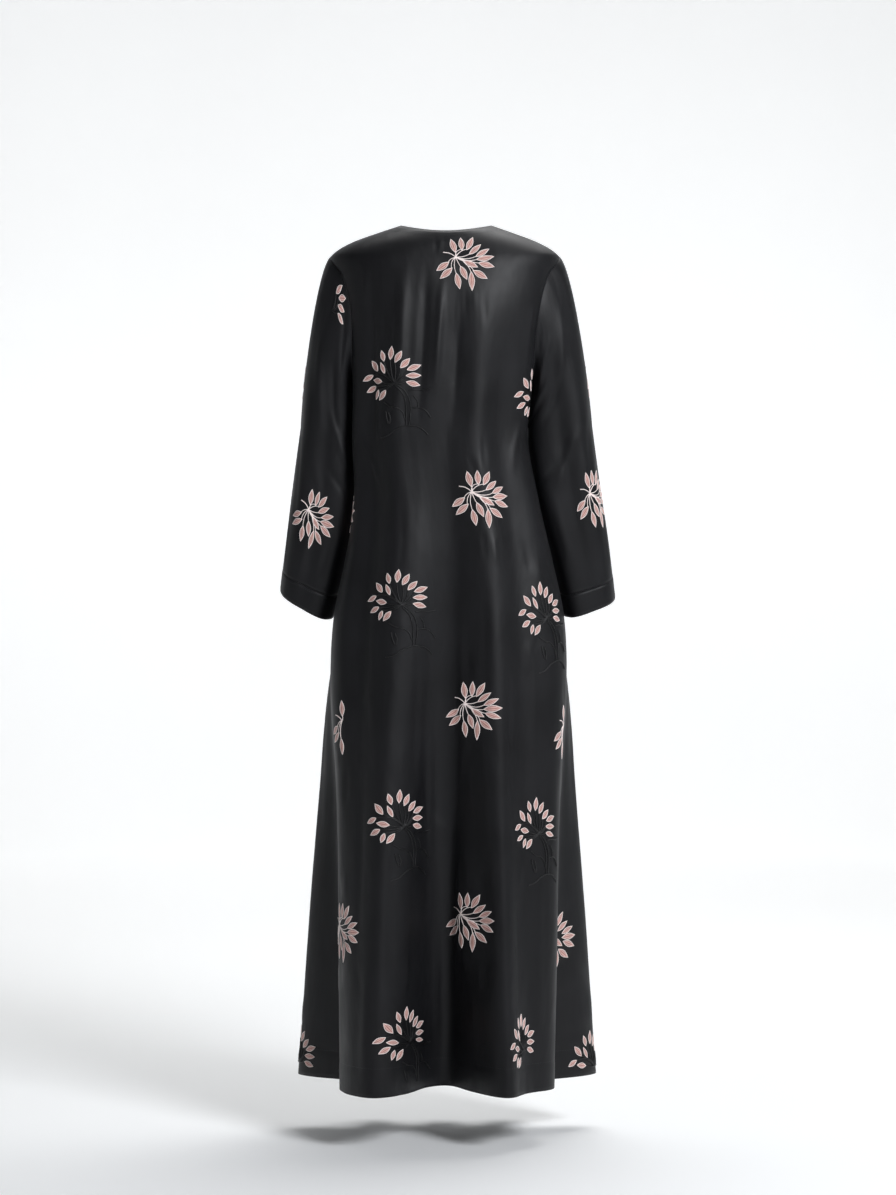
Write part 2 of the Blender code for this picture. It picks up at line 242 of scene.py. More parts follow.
# Creases of the sleeves, with the angle from 0 on the sleeve's outside through 90 at its back
SLEEVE_CREASES = {
    "right": (
        (58, 80, 118, 235, 3, 5, -2.6),
        (42, 105, 92, 300, -3, 6, 2.4),
        (74, 180, 132, 285, 3, 4.5, 2),
        (66, 230, 128, 345, -4, 5, -2.4),
        (96, 255, 146, 315, 2, 4, 1.8),
        (110, 285, 160, 350, 2, 4, -2.2),
        (52, 330, 112, 455, 5, 7, 2.6),
        (84, 380, 150, 440, -3, 5, -2),
        (30, 300, 48, 470, 4, 7, -1.8),
        (116, 420, 104, 580, 4, 7, 2.2),
        (66, 450, 58, 600, -4, 8, -2.2),
        (20, 440, 24, 600, 3, 7, 1.6),
        (-40, 120, -84, 290, 3, 6, 2.2),
        (-64, 200, -124, 330, -3, 5, -2.2),
        (-50, 340, -100, 450, 4, 7, 2.2),
        (-96, 400, -90, 570, 4, 7, -2),
        (-150, 360, -120, 430, 2, 4, 1.8),
    ),
    "left": (
        (56, 85, 108, 260, 3, 5, -2.4),
        (44, 150, 84, 360, -4, 7, 2.6),
        (70, 200, 118, 385, 4, 6, -2.6),
        (96, 300, 140, 420, -3, 5, 2.2),
        (120, 340, 158, 400, 2, 4, -1.8),
        (84, 395, 140, 465, 3, 5, -2),
        (62, 370, 92, 520, 4, 7, 2.2),
        (28, 330, 40, 520, 3, 7, -1.8),
        (112, 470, 100, 600, 4, 6, -2.2),
        (74, 490, 68, 600, -3, 7, 1.8),
        (16, 460, 20, 600, 3, 6, 1.6),
        (-42, 130, -86, 300, -3, 6, 2.2),
        (-66, 220, -122, 350, 3, 5, -2.2),
        (-54, 350, -98, 460, -4, 7, 2.2),
        (-94, 410, -88, 580, 4, 7, -2),
        (-146, 370, -118, 440, 2, 4, 1.8),
    ),
}

# The bloom, from its hub: where each leaf starts (clockwise from straight up, and how far out),
# the way it points, its length, half its width and how much its stem bows
BLOOM_HUB = (-16, 14)
BLOOM_LEAVES = (
    (3, 8, -8, 26.5, 4.8, 1),
    (46, 16, 3, 24.5, 4.3, -4.5),
    (60, 22, 31, 26.5, 4.6, -3),
    (83, 22, 54, 26.5, 4.1, 2),
    (94, 32, 65, 26, 4, 5),
    (105, 33.5, 85, 29.5, 5, 4.5),
    (130, 13.5, 120, 27, 4.7, 1),
    (113, 38, 110, 27, 4.8, 2),
    (137, 37, 125, 27, 4.9, -3),
    (142, 36, 181, 32, 4.6, -4),
    (162, 18.5, 160, 25.5, 4.6, 1),
    (184, 29.5, 172, 27, 4.6, 3),
    (231, 15.5, 235, 26, 4.8, 2),
    (200, 21.5, 230, 28, 4.7, 3),
)
BLOOM_TAIL = ((0, 0), (-5, 4.5), (-11, 7.8), (-19, 9.2))

# The tree, from the middle of its crown: the middle of each leaf, the way it points, its length,
# half its width and how much its branch bows
TREE_HUB = (10, -17.5)
TREE_LEAVES = (
    (-12.5, 27.5, -16, 18.5, 3.9, -2),
    (3, 31.5, 6, 22, 4.4, -1.5),
    (15.5, 25, 29, 21, 4.3, 2),
    (26, 14.5, 43, 21, 4.5, 3),
    (39.5, 7.5, 71, 23, 4.4, 3),
    (39, -5.5, 90, 24, 4.1, 2.5),
    (38.5, -18.5, 105, 22.5, 4.2, 1.5),
    (-30, 12, -38, 22, 4.9, 2),
    (-12.5, 8, -24, 20, 3.3, 1),
    (-24, -12, -80, 21, 4.3, -1.5),
    (-43.5, -6.5, -116, 20, 3.9, 8),
    (-37, -25, -118, 20, 4, -2),
    (-24.5, -34, -158, 16.5, 3.4, -2),
    (-12.5, -35.5, -140, 21, 4.3, -1),
)
# Its cords: first the trunk and its other edge, then the roots, twigs and ground line
TREE_CORDS = (
    ((11, -18), (24, -28), (32.5, -42), (36, -58), (35, -74), (34, -87)),
    ((12, -21), (22, -33), (27.5, -48), (29, -66), (29.5, -86)),
    ((-9, -47), (3, -54), (14, -56.5), (23, -64), (27.5, -76)),
    ((-5, -62), (-3, -72), (1, -82)),
    ((1, -64), (4, -73), (3, -83)),
    ((35, -59), (47, -57), (58, -61), (67, -73)),
    ((32, -29), (44, -28), (56, -29), (66, -26.5)),
    ((40, -38), (46, -47), (48, -58)),
    ((-14, -105), (0, -101), (13, -92), (29, -86), (45, -87), (57, -94), (63, -101)),
)

# Where the motifs lie: angle round the body (or round the sleeve) and drop of each one's middle,
# then its width as a share of the full one and how far it leans clockwise. Where two more numbers
# follow, the motif was cut off beyond these distances left and right of its middle.
BLOOMS = {
    "back": (
        (17.9, 73),
        (26, 459, 1.07),
        (17.4, 803, 1.07),
        (15.3, 1146, 1.22),
        (-57.3, 832, 1, 0, -60, -5),
        (-59.4, 1165),
        (74.5, 840, 1, 0, -60, -5),
        (-81, 482),
    ),
    "front_right": ((94, 1190), (147, 130), (148, 470), (151, 820), (153, 1170)),
    "front_left": ((213, 130), (211, 470), (208, 820), (207, 1170)),
    "sleeve_right": ((41, 456, 0.8), (-30, 262), (-102, 470)),
    "sleeve_left": ((77, 491, 0.82, 9), (-30, 262), (-96, 480)),
}
TREES = {
    "back": (
        (-38.2, 251, 1.04),
        (-34.2, 612, 1.07),
        (-30.5, 970, 1.07),
        (-26.8, 1321, 1.28),
        (72, 277),
        (56.5, 634, 0.78),
        (51.3, 984, 0.79),
        (41.8, 1332, 0.68),
    ),
    "front_right": ((105.3, 1389), (122, 295), (124, 645), (128, 995), (132, 1330)),
    "front_left": ((252.8, 1380), (238, 295), (236, 645), (232, 995), (229, 1330)),
    "sleeve_left": ((45, 120, 1, -30, 8, 60),),
}

# Small puckers that the stitching draws into the cloth above and below each motif, from its
# middle: start across and down, end across and down, half width and reach
PUCKERS = (
    (-16, -88, -12, -40, 5, -1),
    (4, -96, 2, -42, 5.5, 1),
    (20, -84, 15, -38, 5, -0.9),
    (-24, 36, -28, 84, 5, 0.9),
    (-6, 40, -6, 98, 5.5, -1.1),
    (13, 38, 16, 90, 5, 1),
    (34, 30, 40, 74, 5, -0.8),
)
PUCKER_BOW = 0.5
# The neckline lies smooth, so no pucker starts above this drop.
PUCKERS_FROM = 45.0

# How far a leaf of satin stitch stands proud of the cloth, at its edge and in its middle, and the
# radii of the couched threads. Stems and branches get thinner towards their leaves.
LEAF_EDGE = 0.15
LEAF_DOME = 0.95
OUTLINE_RADIUS = 0.60
CORD_RADIUS = 1.05
STEM_RADII = (0.75, 0.55)
BRANCH_RADII = (1.4, 0.8)
TAIL_RADII = (0.7, 0.8)
STEM_INTO_LEAF = 2.0
# A thread's middle lies this share of its radius over the cloth.
THREAD_RISE = 0.55

# Fineness of the stitching
LEAF_ROWS = 11
LEAF_COLUMNS = 7
RIM_SPOTS = 13
STEM_SPOTS = 8
THREAD_SIDES = 5

# How far from a cloth's edges the motifs stay: in rows at a sleeve's ends, in columns at a
# panel's sides, and in metres at the hem
END_ROWS = (3.0, 2.5)
SIDE_COLUMNS = (0.9, 1.9)
HEM_MARGIN = 0.004

# Machine stitches, in metres
STITCH_STEP = 0.0036
ARMHOLE_STITCH_STEP = 0.0045
STITCH_LENGTH = 0.0024
STITCH_RADIUS = 0.00028
STITCH_LIFT = 0.00012


def smooth_step(value):
    """0 below 0, 1 above 1, and an even S between them."""
    held = np.clip(value, 0.0, 1.0)
    return held * held * (3.0 - 2.0 * held)


def half_turn(angle):
    """The same angle between -180 and 180 degrees."""
    return (angle + 180.0) % 360.0 - 180.0


def unit(vectors):
    """The directions of vectors."""
    return vectors / np.maximum(np.linalg.norm(vectors, axis=-1, keepdims=True), 1e-12)


def run_lengths(points):
    """How far along a line each of its points lies."""
    return np.concatenate(((0.0,), np.linalg.norm(np.diff(points, axis=0), axis=1).cumsum()))


def flowing(share, start, leaving, end, arriving):
    """A smooth curve from start to end, pulled at its two ends."""
    square, cube = share**2, share**3
    return (
        start * (2 * cube - 3 * square + 1)
        + leaving * (cube - 2 * square + share)
        + end * (3 * square - 2 * cube)
        + arriving * (cube - square)
    )


def read_table(table, at):
    """The table's other columns at these values of its first, on smooth curves through its rows."""
    known, rows = table[:, 0], table[:, 1:]
    slopes = np.gradient(rows, known, axis=0)
    at = np.clip(at, known[0], known[-1])
    low = np.clip(np.searchsorted(known, at, side="right") - 1, 0, len(known) - 2)
    span = (known[low + 1] - known[low])[..., None]
    share = (at - known[low])[..., None] / span
    return flowing(share, rows[low], slopes[low] * span, rows[low + 1], slopes[low + 1] * span)


def body_folds(angle, drop):
    """How far the folds push the body's ring out at this angle and drop."""
    down = np.clip((drop - FOLD_STATIONS[1]) / (LENGTH - FOLD_STATIONS[1]), 0.0, 1.0)
    places, reaches = [], []
    for high, at_hem, *stages in BODY_FOLDS:
        stations = np.column_stack((FOLD_STATIONS, np.array((0.0, *stages)) * MM))
        places.append(high + (at_hem - high) * down)
        reaches.append(read_table(stations, drop)[..., 0])
    places, reaches = np.array(places), np.array(reaches)
    following = np.roll(reaches, -1, axis=0)
    gaps = (np.roll(places, -1, axis=0) - places) % 360.0
    slopes = (following - np.roll(reaches, 1, axis=0)) / (gaps + np.roll(gaps, 1, axis=0))
    shares = ((angle - places) % 360.0) / gaps
    blends = flowing(shares, reaches, slopes * gaps, following, np.roll(slopes, -1, axis=0) * gaps)
    out = np.zeros(drop.shape)
    for share, blend in zip(shares, blends):
        out = np.where(share < 1.0, blend, out)
    return out


def body_point(angle, drop):
    """The plain outer face of the body at an angle round it and a drop."""
    angle, drop = np.broadcast_arrays(np.asarray(angle, float), np.asarray(drop, float))
    across, along = np.sin(np.radians(angle)), np.cos(np.radians(angle))
    dip = np.where(along > 0, NECK_DIP["back"], NECK_DIP["front"]) * along**2
    low = drop + dip * (1.0 - smooth_step(drop / NECK_FADE))
    shift, wide, back, front, power = np.moveaxis(read_table(BODY_SECTIONS, low), -1, 0)
    deep = np.where(along > 0, back, front)
    wide_share, deep_share = np.abs(across / wide), np.abs(along / deep)
    plain = (wide_share**power + deep_share**power) ** (-1.0 / power)
    x, y = plain * across, -plain * along
    lean_x = np.sign(x) * np.abs(x / wide) ** (power - 1.0) / wide
    lean_y = np.sign(y) * np.abs(y / deep) ** (power - 1.0) / deep
    reach = body_folds(angle, low) / np.hypot(lean_x, lean_y)
    return np.stack((shift + x + reach * lean_x, y + reach * lean_y, ORIGIN_DROP - low), axis=-1)


def body_normal(angle, drop):
    """The outward direction of the body's plain face."""
    turn, step = 0.05, 0.0005
    round_it = body_point(angle + turn, drop) - body_point(angle - turn, drop)
    down_it = body_point(angle, drop + step) - body_point(angle, drop - step)
    return unit(np.cross(down_it, round_it))


def creased(angle, drop, creases, degree):
    """How far a table of creases lifts the cloth, where a degree is so many millimetres."""
    out = np.zeros(np.broadcast(angle, drop).shape)
    for first, top, last, end, bow, width, reach in np.array(creases) * CREASE_UNITS:
        run = np.array(((last - first) * degree * MM, end - top))
        run_length = np.hypot(*run)
        round_it = half_turn(angle - first) * degree * MM
        down_it = drop - top
        share = (round_it * run[0] + down_it * run[1]) / run_length**2
        aside = (round_it * run[1] - down_it * run[0]) / run_length
        aside = aside - 4.0 * share * (1.0 - share) * bow
        ends = smooth_step(share / CREASE_STARTS) * smooth_step((1.0 - share) / CREASE_ENDS)
        out = out + ends * reach * np.exp(-((aside / width) ** 2))
    return out


def puckers():
    """The puckers of every motif on the body, in the form of creases."""
    found = []
    for kind in (BLOOMS, TREES):
        for middle, drop, *_ in (row for name in PANELS for row in kind[name]):
            for one, (x, down, to_x, to_down, width, reach) in enumerate(PUCKERS):
                # They differ a little from one motif to the next.
                uneven = 1.0 + 0.35 * math.sin(2.3 * one + 0.7 * middle + 9.0 * drop * MM)
                top, end = drop + down * uneven, drop + to_down * uneven
                first, last = middle + x / BODY_DEGREE, middle + to_x / BODY_DEGREE
                if top > PUCKERS_FROM:
                    found.append((first, top, last, end, PUCKER_BOW, width, reach * uneven))
    return tuple(found)


BODY_CREASES = SHOWN_CREASES + HIDDEN_CREASES + puckers()


def body_creases(angle, drop):
    """Creases, the ditch of the side seams and the turned hem, as a lift of the body's face."""
    from_side = np.abs(np.abs(half_turn(angle)) - 90.0) * BODY_DEGREE * MM
    below_armhole = smooth_step((drop - SHOULDER_DROP - ARMHOLE_DEPTH) / 0.03)
    into_hem = drop - (LENGTH - HEM_DEPTH)
    return (
        creased(angle, drop, BODY_CREASES, BODY_DEGREE)
        - SIDE_DITCH * below_armhole * np.exp(-((from_side / SIDE_DITCH_WIDTH) ** 2))
        - HEM_DITCH * np.exp(-((into_hem / HEM_DITCH_WIDTH) ** 2))
        + HEM_DITCH * smooth_step(into_hem / 0.006)
    )


def dressed_point(angle, drop):
    """The outer face of the body's cloth, with its creases."""
    lift = body_creases(angle, drop)[..., None]
    return body_point(angle, drop) + lift * body_normal(angle, drop)


def armhole_drop(turn):
    """The drop of the armhole's edge, turn degrees round it from the shoulder point."""
    return SHOULDER_DROP + ARMHOLE_DEPTH * (1.0 - np.cos(np.radians(turn))) / 2.0


def armhole_angle(turn):
    """The angle round the body, on the right, of the armhole's edge."""
    rise = np.sin(np.radians(turn))
    return 90.0 - np.where(rise > 0, ARMHOLE_REACH["back"], ARMHOLE_REACH["front"]) * rise


def row_drops():
    """The drop of every row of the panels, with the armhole's own steps between the seams."""
    shoulder = SHOULDER_DROP * np.linspace(0.0, 0.93, SHOULDER_ROWS)
    armhole = armhole_drop(np.linspace(0.0, 180.0, ARMHOLE_STEPS + 1))
    rest = LENGTH - armhole[-1]
    skirt = np.linspace(armhole[-1], LENGTH, int(rest / SKIRT_STEP) + 1)[1:]
    return np.concatenate((shoulder, armhole, skirt))


def edge_angle(drop, panel):
    """How far round from the side the panel stops at this drop, in degrees."""
    inside = (drop - SHOULDER_DROP) / ARMHOLE_DEPTH
    if inside <= 1e-9 or inside >= 1.0 - 1e-9:
        return 0.0
    return ARMHOLE_REACH[panel] * math.sqrt(1.0 - (2.0 * inside - 1.0) ** 2)


def panel_angles(name, drop):
    """Angles of a panel's points along one row, even along the cloth, and how far the lap rises."""
    stop = edge_angle(drop, name.split("_")[0])
    first, last = {
        "back": (-90.0 + stop, 90.0 - stop),
        "front_left": (160.0, 270.0 - stop),
        "front_right": (90.0 + stop, 200.0),
    }[name]
    angles = np.linspace(first, last, FINE)
    lengths = run_lengths(body_point(angles, drop))
    inset = 0.0 if stop else SEAM_GAP / 2
    start, end = inset, lengths[-1] - inset
    centre = np.interp(180.0, angles, lengths)
    if name == "front_left":
        start = centre - FRONT_LAP
    if name == "front_right":
        end = centre + FRONT_LAP
    places = np.linspace(start, end, COLUMNS[name])
    rise = 0.0 * places
    if name == "front_right":
        into_lap = places - (centre - FRONT_LAP - LAP_RISE)
        rise = smooth_step(into_lap / (0.8 * LAP_RISE)) * (WALL + LAP_CLEAR)
    return np.interp(places, lengths, angles), rise


def cloth_grid(points, around, hand, closed):
    """A cloth as a grid of points whose columns run with the angle, and its outward directions."""
    round_it = np.gradient(points, axis=1)
    if closed:
        round_it = np.roll(points, -1, axis=1) - np.roll(points, 1, axis=1)
    normals = unit(np.cross(np.gradient(points, axis=0), round_it)) * hand
    return {"points": points, "normals": normals, "around": around, "hand": hand, "closed": closed}


def panel_ground(name):
    """The cloth of a panel, with its creases."""
    drops = row_drops()
    angles, rises = (np.array(part) for part in zip(*(panel_angles(name, drop) for drop in drops)))
    down = np.broadcast_to(drops[:, None], angles.shape)
    points = dressed_point(angles, down) + rises[..., None] * body_normal(angles, down)
    return cloth_grid(points, angles, 1.0, False)


def mirrored(points, side):
    """Points worked out on the right, on the side that is asked for."""
    return points * np.array((SIDE_SIGN[side], 1.0, 1.0))


def armhole_frame(turn, side):
    """The sleeve's start at each turn: its points, clear of the panel's edge, and its directions."""
    drop, angle = armhole_drop(turn), armhole_angle(turn)
    round_body = angle if side == "right" else -angle
    edge = dressed_point(round_body, drop)
    along = np.roll(edge, -1, axis=0) - np.roll(edge, 1, axis=0)
    into = unit(np.cross(body_normal(round_body, drop), along))
    middle = body_point(90.0 * SIDE_SIGN[side], SHOULDER_DROP + ARMHOLE_DEPTH / 2)
    into *= np.sign(np.sum(into * (middle - edge), axis=-1, keepdims=True))
    fall = 0.42 * (1.0 + np.cos(np.radians(turn))) / 2.0 + 0.35 * np.abs(np.sin(np.radians(turn)))
    leaving = np.stack((np.full(len(turn), SIDE_SIGN[side]), np.zeros(len(turn)), -fall), axis=-1)
    return edge + into * SEAM_GAP, unit(leaving)


def sleeve_folds(turn, drop):
    """How far the folds push the sleeve's ring out."""
    out = np.zeros(np.broadcast(turn, drop).shape)
    for at_top, at_cuff, width, reach, start, end in SLEEVE_FOLDS:
        share = np.clip((drop - start) / (end - start), 0.0, 1.0)
        away = half_turn(turn - (at_top + (at_cuff - at_top) * share))
        ease = smooth_step(share / 0.4) * (1.0 - 0.45 * smooth_step((share - 0.6) / 0.4))
        out = out + reach * ease * np.exp(-((away / width) ** 2))
    return out


def sleeve_ring(turn, drop, side):
    """The plain ring of the sleeve below its first ring, with the direction that it runs in."""
    step = 0.01
    table = SLEEVE_SECTIONS[side]
    across, ahead, wide, deep, outer_rise, front_rise = read_table(table, np.float64(drop))
    before, after = (read_table(table, np.float64(drop + d))[:2] for d in (-step, step))
    run = np.array((*(after - before), -2.0 * step))
    lean, nod = math.radians(outer_rise), math.radians(front_rise)
    outwards = np.array((math.cos(lean), 0.0, math.sin(lean)))
    forwards = np.array((0.0, math.cos(nod), math.sin(nod)))
    swell = sleeve_folds(turn, drop)[:, None]
    cosine, sine = np.cos(np.radians(turn))[:, None], np.sin(np.radians(turn))[:, None]
    centre = np.array((across, ahead, ORIGIN_DROP - drop))
    ring = centre + outwards * (wide + swell) * cosine - forwards * (deep + swell) * sine
    return mirrored(ring, side), mirrored(unit(run), side)


def sleeve_turns():
    """The turns of a sleeve's columns, with the join on its inside."""
    count = 4 * ARMHOLE_STEPS
    return np.arange(count) * 360.0 / count - 180.0


def sleeve_rows(side, shares, drops):
    """Rings of the sleeve: at these shares of the way to its first ring, then at these drops."""
    turn = sleeve_turns()
    start, leaving = armhole_frame(turn, side)
    # Between two steps of the armhole the sleeve's first rings stay straight, as the panel's edge is.
    for line in (start, leaving):
        line[1::2] = (line[::2] + np.roll(line[::2], -1, axis=0)) / 2.0
    ring, run = sleeve_ring(turn, SLEEVE_SECTIONS[side][0, 0], side)
    under = (1.0 - np.cos(np.radians(turn)))[:, None] / 2.0
    pulls = [outer * (1.0 - under) + inner * under for outer, inner in (ARMHOLE_PULL, RING_PULL)]
    rows = [flowing(share, start, leaving * pulls[0], ring, run * pulls[1]) for share in shares]
    rows.extend(sleeve_ring(turn, drop, side)[0] for drop in drops)
    return np.array(rows)


def tube_ground(points, side, reach_share):
    """The cloth of a sleeve or a cuff, with its creases."""
    turn = np.broadcast_to(sleeve_turns(), points.shape[:2])
    smooth = cloth_grid(points, turn, -SIDE_SIGN[side], True)
    lift = creased(turn, ORIGIN_DROP - points[..., 2], SLEEVE_CREASES[side], SLEEVE_DEGREE) * reach_share
    return cloth_grid(points + lift[..., None] * smooth["normals"], turn, smooth["hand"], True)


def sleeve_ground(side):
    """A set-in sleeve, whose creases fade out at the armhole."""
    top_drop, end_drop = SLEEVE_SECTIONS[side][0, 0], SLEEVE_SECTIONS[side][-1, 0]
    shares = np.concatenate(((0.0, 0.008, 0.02, 0.035), np.linspace(0.05, 0.97, SLEEVE_TOP_ROWS)))
    drops = np.linspace(top_drop, end_drop - CUFF_DEPTH - SEAM_GAP / 2, SLEEVE_ROWS)
    points = sleeve_rows(side, shares, drops)
    rows = np.arange(len(points))[:, None]
    below_seam = smooth_step((rows - 2.0) / 9.0)
    above_cuff = smooth_step((len(points) - 1.0 - rows) / 8.0)
    near_cuff = CUFF_CREASING + (1.0 - CUFF_CREASING) * above_cuff
    return tube_ground(points, side, below_seam * near_cuff)


def cuff_ground(side):
    """The band at the end of a sleeve, pushed out by the thickness of its seam."""
    end_drop = SLEEVE_SECTIONS[side][-1, 0]
    drops = np.linspace(end_drop - CUFF_DEPTH + SEAM_GAP / 2, end_drop, CUFF_ROWS)
    band = sleeve_rows(side, (), drops)
    away = unit(band - band.mean(axis=1, keepdims=True))
    rows = np.arange(len(band))[:, None]
    # A pressed edge turns in a little at both ends of the band.
    pressed = np.where((rows == 0) | (rows == len(band) - 1), PRESSED_EDGE, 0.0)[..., None]
    return tube_ground(band + away * (CUFF_PROUD - pressed), side, CUFF_CREASING)


def colour(code):
    """An sRGB hex colour as linear light."""
    parts = [int(code[place : place + 2], 16) / 255.0 for place in (1, 3, 5)]
    linear = [part / 12.92 if part <= 0.04045 else ((part + 0.055) / 1.055) ** 2.4 for part in parts]
    return (*linear, 1.0)


def add(tree, kind, settings, links):
    """Adds a node, or takes one that is there, with its settings, and joins its inputs to other
    nodes, by their first output unless another is named."""
    node = kind if isinstance(kind, bpy.types.Node) else tree.nodes.new("ShaderNode" + kind)
    for name, value in settings.items():
        if name == "stops":
            marks = node.color_ramp.elements
            marks[0].position, marks[-1].position = value[0][0], value[-1][0]
            for place, _ in value[1:-1]:
                marks.new(place)
            for mark, (_, code) in zip(marks, value):
                mark.color = colour(code)
        elif isinstance(name, int) or name in node.inputs:
            node.inputs[name].default_value = value
        else:
            setattr(node, name, value)
    for name, link in links.items():
        source, output = link if isinstance(link, tuple) else (link, 0)
        tree.links.new(source.outputs[output], node.inputs[name])
    return node


def new_material(name, rough, gloss, sheen=0.0, sheen_rough=0.5, **more):
    """A material with its surface shader set up."""
    material = bpy.data.materials.new(name)
    material.use_nodes = True
    tree = material.node_tree
    finish = {"Roughness": rough, "IOR": 1.5, "Specular IOR Level": gloss}
    sheens = {"Sheen Weight": sheen, "Sheen Roughness": sheen_rough}
    others = {socket.replace("_", " "): value for socket, value in more.items()}
    shader = add(tree, tree.nodes["Principled BSDF"], finish | sheens | others, {})
    return material, tree, shader


def black_satin(name, dark, light, rough, sheen):
    """Polyester satin, woven with long warp floats and piece-dyed black: a soft, slightly cool
    gloss that runs down the warp, over a dark ground with faint slubs."""
    finish = {"Anisotropic": 0.35, "Sheen_Tint": colour("#aab0bc")}
    material, tree, shader = new_material(name, rough, 0.29, sheen, 0.42, **finish)
    # The map is in metres of cloth. Slubs are about 1 mm wide and 25 mm long down the warp.
    place = add(tree, "UVMap", {"uv_map": "cloth"}, {})
    slub_place = add(tree, "Mapping", {"Scale": (420.0, 22.0, 1.0)}, {"Vector": place})
    slub_grain = {"Scale": 1.0, "Detail": 3.0, "Roughness": 0.6}
    slubs = add(tree, "TexNoise", slub_grain, {"Vector": slub_place})
    cloudy = add(tree, "TexNoise", {"Scale": 9.0, "Detail": 4.0, "Roughness": 0.55}, {"Vector": place})
    # Warp threads are 0.1 mm apart, too fine to show, and are drawn 1.2 mm apart.
    warp = add(tree, "TexWave", {"Scale": 262.0, "Distortion": 1.2, "Detail": 2.0}, {"Vector": place})
    mixed = add(tree, "Math", {"operation": "MULTIPLY_ADD", 1: 0.45}, {0: slubs, 2: cloudy})
    tone = add(tree, "ValToRGB", {"stops": ((0.42, dark), (0.95, light))}, {0: mixed})
    wear = {"From Min": 0.3, "From Max": 0.7, "To Min": rough - 0.05, "To Max": rough + 0.06}
    worn = add(tree, "MapRange", wear, {"Value": cloudy})
    rumple_place = add(tree, "Mapping", {"Scale": (34.0, 11.0, 1.0)}, {"Vector": place})
    rumple_grain = {"Scale": 1.0, "Detail": 2.0, "Roughness": 0.45}
    rumples = add(tree, "TexNoise", rumple_grain, {"Vector": rumple_place})
    soft = add(tree, "Bump", {"Strength": 0.55, "Distance": 0.0022}, {"Height": rumples})
    raised = {"Height": slubs, "Normal": soft}
    thread = add(tree, "Bump", {"Strength": 0.25, "Distance": 0.00012}, raised)
    woven = {"Height": (warp, "Fac"), "Normal": thread}
    weave = add(tree, "Bump", {"Strength": 0.10, "Distance": 0.00008}, woven)
    add(tree, shader, {}, {"Base Color": tone, "Roughness": worn, "Normal": weave})
    return material


def rose_floss():
    """Rayon embroidery floss in satin stitch, dyed dusty rose: silky slanting stitches, pinker in the
    middle of a leaf, with painted shade in a groove inside its pale outline and between the stitches."""
    material, tree, shader = new_material("rose_floss", 0.45, 0.45, 0.25, 0.35)
    place = add(tree, "UVMap", {"uv_map": "leaf"}, {})
    split = add(tree, "SeparateXYZ", {}, {0: place})
    # Across a leaf the map runs from -1 at one edge to 1 at the other.
    aside = add(tree, "Math", {"operation": "ABSOLUTE"}, {0: split})
    # The dark band at 0.80 is painted shade in the groove inside the pale outline.
    tones = (
        (0.00, "#9c665d"),
        (0.13, "#c8938a"),
        (0.34, "#e6c2b9"),
        (0.48, "#d2a297"),
        (0.62, "#e1b9b0"),
        (0.80, "#7c4b43"),
        (0.92, "#bf8f85"),
        (1.00, "#e8cac2"),
    )
    bands = add(tree, "ValToRGB", {"stops": tones}, {0: aside})
    # Stitches of 0.4 mm floss slant back from the middle, drawn 0.9 mm apart.
    slant = add(tree, "Math", {"operation": "MULTIPLY_ADD", 1: 0.16}, {0: aside, 2: (split, "Y")})
    steps = add(tree, "Math", {"operation": "MULTIPLY", 1: 170.0}, {0: slant})
    stitch = add(tree, "Math", {"operation": "SINE"}, {0: steps})
    where = add(tree, "TexCoord", {}, {})
    blotch = add(tree, "TexNoise", {"Scale": 130.0, "Detail": 3.0}, {"Vector": (where, "Object")})
    uneven = {"From Min": 0.3, "From Max": 0.7, "To Min": 0.86, "To Max": 1.1}
    shade = add(tree, "MapRange", uneven, {"Value": blotch})
    # Between the stitches the floss is darkened by up to 16 percent: painted shade in the gaps.
    stitch_gap_shade = {"From Min": -1.0, "From Max": 1.0, "To Min": 0.84, "To Max": 1.04}
    painted_stitch_shade = add(tree, "MapRange", stitch_gap_shade, {"Value": stitch})
    both = add(tree, "Math", {"operation": "MULTIPLY"}, {0: shade, 1: painted_stitch_shade})
    toned = add(tree, "VectorMath", {"operation": "SCALE"}, {0: bands, "Scale": both})
    bump = add(tree, "Bump", {"Strength": 0.5, "Distance": 0.00025}, {"Height": stitch})
    add(tree, shader, {}, {"Base Color": toned, "Normal": bump})
    return material


def thread_material(name, dark, light, rough, sheen):
    """Twisted embroidery thread, couched down: fine turns along each line, with painted highlights and
    painted shade on the twist.
    """
    material, tree, shader = new_material(name, rough, 0.45, sheen, 0.4)
    place = add(tree, "UVMap", {"uv_map": "thread"}, {})
    split = add(tree, "SeparateXYZ", {}, {0: place})
    # The map runs once round the thread, and in metres along it. One turn of the twist is 1.6 mm.
    along = add(tree, "Math", {"operation": "MULTIPLY", 1: 3900.0}, {0: (split, "Y")})
    turns = add(tree, "Math", {"operation": "MULTIPLY_ADD", 1: 6.283}, {0: split, 2: along})
    # The light and dark turns are painted highlights and painted shade on the twist.
    twist = add(tree, "Math", {"operation": "SINE"}, {0: turns})
    share = add(tree, "MapRange", {"From Min": -1.0, "From Max": 1.0}, {"Value": twist})
    tone = add(tree, "ValToRGB", {"stops": ((0.0, dark), (1.0, light))}, {0: share})
    bump = add(tree, "Bump", {"Strength": 0.5, "Distance": 0.0002}, {"Height": share})
    add(tree, shader, {}, {"Base Color": tone, "Normal": bump})
    return material


# The radius of the studio's round floor, in metres
ROOM = 7.6


